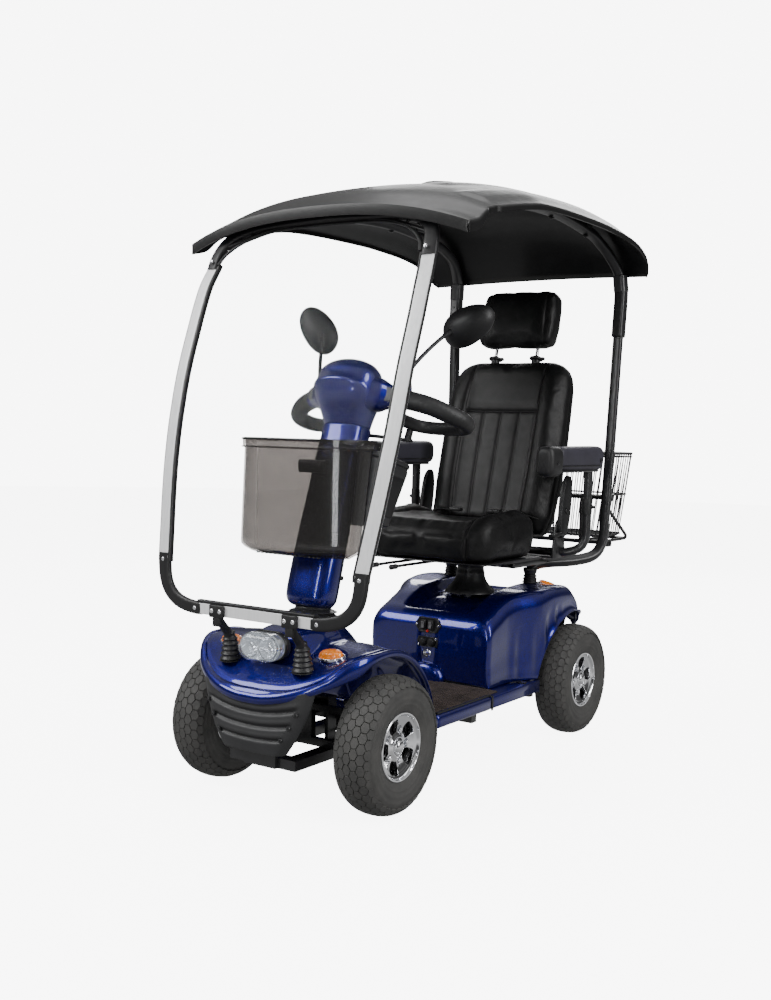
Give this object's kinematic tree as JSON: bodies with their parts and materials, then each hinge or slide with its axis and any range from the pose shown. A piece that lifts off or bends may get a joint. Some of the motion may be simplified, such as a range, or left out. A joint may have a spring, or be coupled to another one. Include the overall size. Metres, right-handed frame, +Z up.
{
  "type": "mobility scooter",
  "caption": "Four-wheeled electric mobility scooter with curved windscreen, hard roof, swivelling captain seat, tilting tiller, front basket and rear wire basket.",
  "frame": {"origin": "on the floor under the middle of the whole scooter's box", "axes": "+Z up, -Y the way the scooter drives, +X the rider's left"},
  "size_m": [0.882, 1.7377, 1.6843],
  "materials": {
    "blue_paint": "metallic royal blue paint under clear lacquer",
    "black_steel": "satin black powder coat",
    "black_plastic": "fine grained black moulding",
    "grey_plastic": "dark grey grained moulding",
    "tyre_rubber": "dark grey block tread",
    "grip_rubber": "soft black foam grip",
    "chrome": "bright plated",
    "rail_aluminium": "silver white anodised",
    "leatherette": "black grained leatherette",
    "smoked_clear": "smoked translucent plastic",
    "clear_sheet": "clear polycarbonate",
    "lamp_clear": "clear fluted lens over a bright reflector",
    "amber_lens": "orange fluted lens",
    "mat_rubber": "brown black ribbed mat",
    "roof_plastic": "satin dark grey black moulding",
    "cast_alloy": "dark painted casting"
  },
  "bodies": {
    "chassis": {"main_frame": "black_steel", "front_axle_beam": "black_steel", "transaxle": "cast_alloy", "battery_left": "grey_plastic", "battery_right": "grey_plastic", "floor_deck": "blue_paint", "deck_mat": "mat_rubber", "front_shell": "blue_paint", "front_bumper": "grey_plastic", "headlamp": "lamp_clear", "indicator_front_left": "amber_lens", "indicator_front_right": "amber_lens", "rear_shell": "blue_paint", "switch_panel": "black_plastic", "seat_post": "black_plastic", "windscreen_panel": "clear_sheet", "windscreen_rail_left": "rail_aluminium", "windscreen_rail_right": "rail_aluminium", "windscreen_top_frame": "black_plastic", "windscreen_bottom_frame": "black_plastic", "windscreen_stay_left": "black_plastic", "windscreen_stay_right": "black_plastic", "canopy_shell": "roof_plastic", "canopy_post_left": "black_steel", "canopy_post_right": "black_steel", "basket_carrier": "black_steel", "rear_basket": "black_steel"},
    "steering": {"steering_column": "black_steel"},
    "knuckle_left": {"knuckle_left": "black_steel"},
    "knuckle_right": {"knuckle_right": "black_steel"},
    "tie_rod": {"tie_rod": "black_steel"},
    "tiller": {"tiller_cover": "blue_paint", "tiller_head": "blue_paint", "handlebar_left": "grip_rubber", "handlebar_right": "grip_rubber", "storage_box": "black_plastic", "front_basket": "smoked_clear"},
    "throttle": {"throttle_lever": "black_plastic"},
    "storage_lid": {"storage_lid": "black_plastic"},
    "mirror_left": {"mirror_left": "black_plastic"},
    "mirror_right": {"mirror_right": "black_plastic"},
    "key": {"ignition_key": "chrome"},
    "speed_dial": {"speed_dial": "black_plastic"},
    "wheel_front_left": {"tyre_front_left": "tyre_rubber", "rim_front_left": "chrome"},
    "wheel_front_right": {"tyre_front_right": "tyre_rubber", "rim_front_right": "chrome"},
    "wheel_rear_left": {"tyre_rear_left": "tyre_rubber", "rim_rear_left": "chrome"},
    "wheel_rear_right": {"tyre_rear_right": "tyre_rubber", "rim_rear_right": "chrome"},
    "swivel": {"seat_swivel": "black_steel"},
    "swivel_lever": {"swivel_lever": "black_steel"},
    "seat": {"seat_pan": "black_steel", "seat_cushion": "leatherette"},
    "slide_lever": {"slide_lever": "black_steel"},
    "backrest": {"seat_back": "leatherette"},
    "headrest": {"headrest": "leatherette"},
    "armrest_left": {"armrest_left": "grey_plastic"},
    "armrest_right": {"armrest_right": "grey_plastic"}
  },
  "joints": [
    {"name": "steer", "type": "hinge", "parent": "chassis", "child": "steering", "pos_m": [0, -0.624, 0.33], "axis": [0, 0, 1], "range_deg": [-30, 30]},
    {"name": "knuckle_left_steer", "type": "hinge", "parent": "chassis", "child": "knuckle_left", "pos_m": [0.196, -0.6545, 0.195], "axis": [0, 0, 1], "range_deg": [-30, 30]},
    {"name": "knuckle_right_steer", "type": "hinge", "parent": "chassis", "child": "knuckle_right", "pos_m": [-0.196, -0.6545, 0.195], "axis": [0, 0, 1], "range_deg": [-30, 30]},
    {"name": "tie_rod_pivot", "type": "hinge", "parent": "knuckle_left", "child": "tie_rod", "pos_m": [0.196, -0.5765, 0.199], "axis": [0, 0, 1], "range_deg": [-30, 30]},
    {"name": "tiller_tilt", "type": "hinge", "parent": "steering", "child": "tiller", "pos_m": [0, -0.624, 0.475], "axis": [-1, 0, 0], "range_deg": [0, 10]},
    {"name": "throttle_twist", "type": "hinge", "parent": "tiller", "child": "throttle", "pos_m": [0, -0.5163, 0.953], "axis": [0, 0.2199, 0.9755], "range_deg": [-9, 9], "stiffness_Nm_per_rad": 1.2},
    {"name": "storage_lid_hinge", "type": "hinge", "parent": "tiller", "child": "storage_lid", "pos_m": [0, -0.4594, 0.8869], "axis": [1, 0, 0], "range_deg": [0, 32]},
    {"name": "mirror_left_turn", "type": "hinge", "parent": "tiller", "child": "mirror_left", "pos_m": [0.147, -0.423, 1.072], "axis": [0, 0, -1], "range_deg": [-30, 30]},
    {"name": "mirror_right_turn", "type": "hinge", "parent": "tiller", "child": "mirror_right", "pos_m": [-0.147, -0.423, 1.072], "axis": [0, 0, 1], "range_deg": [-30, 30]},
    {"name": "key_turn", "type": "hinge", "parent": "tiller", "child": "key", "pos_m": [0.038, -0.4407, 1.061], "axis": [0, 0.9293, 0.3694], "range_deg": [0, 60]},
    {"name": "speed_dial_turn", "type": "hinge", "parent": "tiller", "child": "speed_dial", "pos_m": [-0.038, -0.4407, 1.061], "axis": [0, 0.9293, 0.3694], "range_deg": [-135, 135]},
    {"name": "wheel_front_left_spin", "type": "hinge", "parent": "knuckle_left", "child": "wheel_front_left", "pos_m": [0.264, -0.6545, 0.175], "axis": [1, 0, 0], "continuous": true},
    {"name": "wheel_front_right_spin", "type": "hinge", "parent": "knuckle_right", "child": "wheel_front_right", "pos_m": [-0.264, -0.6545, 0.175], "axis": [1, 0, 0], "continuous": true},
    {"name": "wheel_rear_left_spin", "type": "hinge", "parent": "chassis", "child": "wheel_rear_left", "pos_m": [0.264, 0.4025, 0.175], "axis": [1, 0, 0], "continuous": true},
    {"name": "wheel_rear_right_spin", "type": "hinge", "parent": "chassis", "child": "wheel_rear_right", "pos_m": [-0.264, 0.4025, 0.175], "axis": [1, 0, 0], "continuous": true},
    {"name": "seat_rotate", "type": "hinge", "parent": "chassis", "child": "swivel", "pos_m": [0, 0.197, 0.555], "axis": [0, 0, 1], "range_deg": [-90, 90]},
    {"name": "seat_slide", "type": "slide", "parent": "swivel", "child": "seat", "axis": [0, -1, 0], "range_m": [-0.02, 0.04]},
    {"name": "backrest_recline", "type": "hinge", "parent": "seat", "child": "backrest", "pos_m": [0, 0.317, 0.64], "axis": [-1, 0, 0], "range_deg": [-25, 8]},
    {"name": "headrest_height", "type": "slide", "parent": "backrest", "child": "headrest", "axis": [0, 0.2588, 0.9659], "range_m": [0, 0.06]},
    {"name": "armrest_left_lift", "type": "hinge", "parent": "seat", "child": "armrest_left", "pos_m": [0.315, 0.394, 0.88], "axis": [-1, 0, 0], "range_deg": [0, 92]},
    {"name": "armrest_right_lift", "type": "hinge", "parent": "seat", "child": "armrest_right", "pos_m": [-0.315, 0.394, 0.88], "axis": [-1, 0, 0], "range_deg": [0, 92]},
    {"name": "swivel_lever_pull", "type": "hinge", "parent": "swivel", "child": "swivel_lever", "pos_m": [-0.052, 0.088, 0.552], "axis": [0, 0, 1], "range_deg": [0, 10], "stiffness_Nm_per_rad": 2},
    {"name": "slide_lever_pull", "type": "hinge", "parent": "seat", "child": "slide_lever", "pos_m": [-0.12, 0.088, 0.552], "axis": [0, 0, -1], "range_deg": [0, 10], "stiffness_Nm_per_rad": 2}
  ],
  "couplings": [
    {"joint": "knuckle_left_steer", "follows": "steer", "ratio": 1},
    {"joint": "knuckle_right_steer", "follows": "steer", "ratio": 1},
    {"joint": "tie_rod_pivot", "follows": "steer", "ratio": -1}
  ]
}
